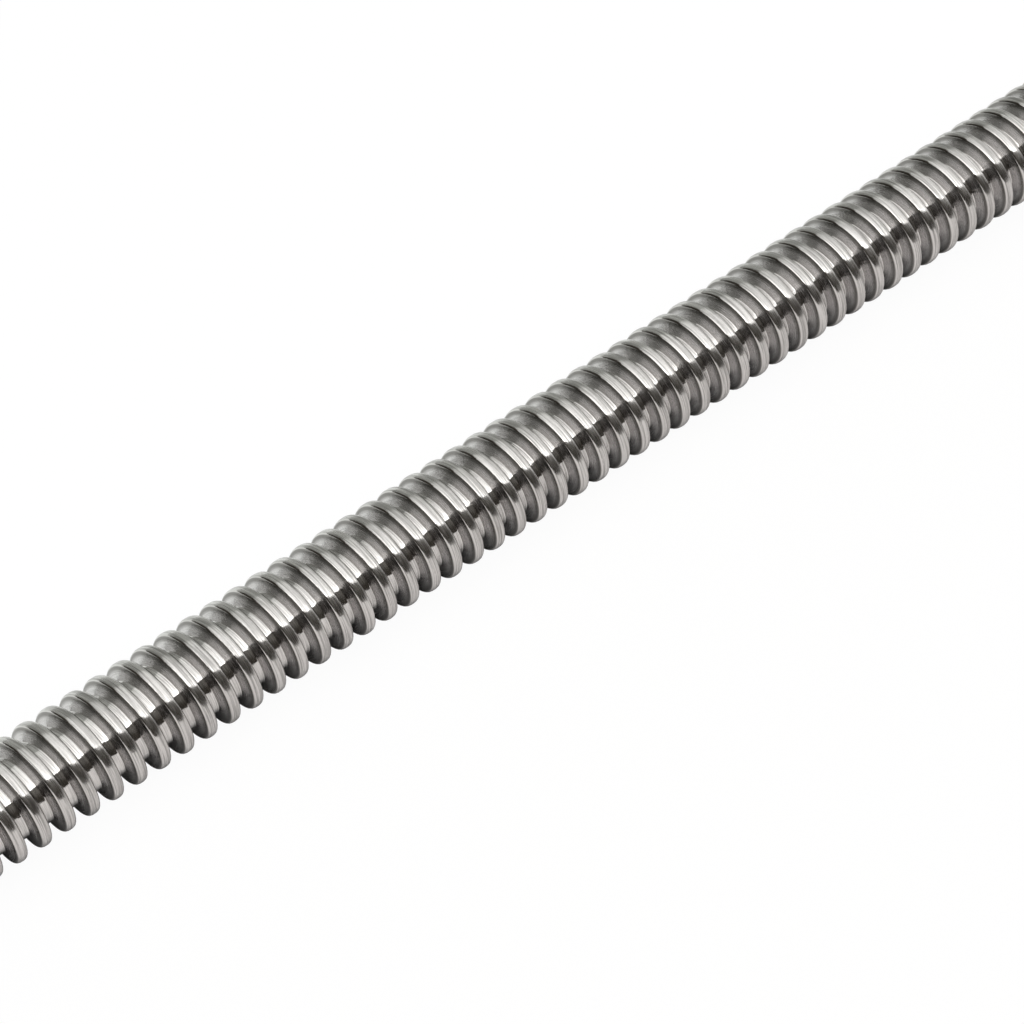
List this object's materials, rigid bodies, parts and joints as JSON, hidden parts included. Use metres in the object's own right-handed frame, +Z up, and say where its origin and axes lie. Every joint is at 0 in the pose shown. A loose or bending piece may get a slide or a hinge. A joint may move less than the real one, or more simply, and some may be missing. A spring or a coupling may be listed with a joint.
{
  "type": "trapezoidal lead screw",
  "caption": "Straight steel bar with a right-hand trapezoidal power-screw thread along its whole length and plain chamfered ends; it drives a matching nut along a machine axis.",
  "frame": {"origin": "middle of the bar's length, under its axis, on the surface that it lies on", "axes": "+X along the screw's axis, +Z up; the bar lies on its side"},
  "size_m": [0.2, 0.0118, 0.0116],
  "materials": {
    "steel": "bright rolled steel, semi-gloss, with fine lines that run along the thread"
  },
  "bodies": {
    "root": {"lead_screw": "steel"}
  },
  "joints": []
}
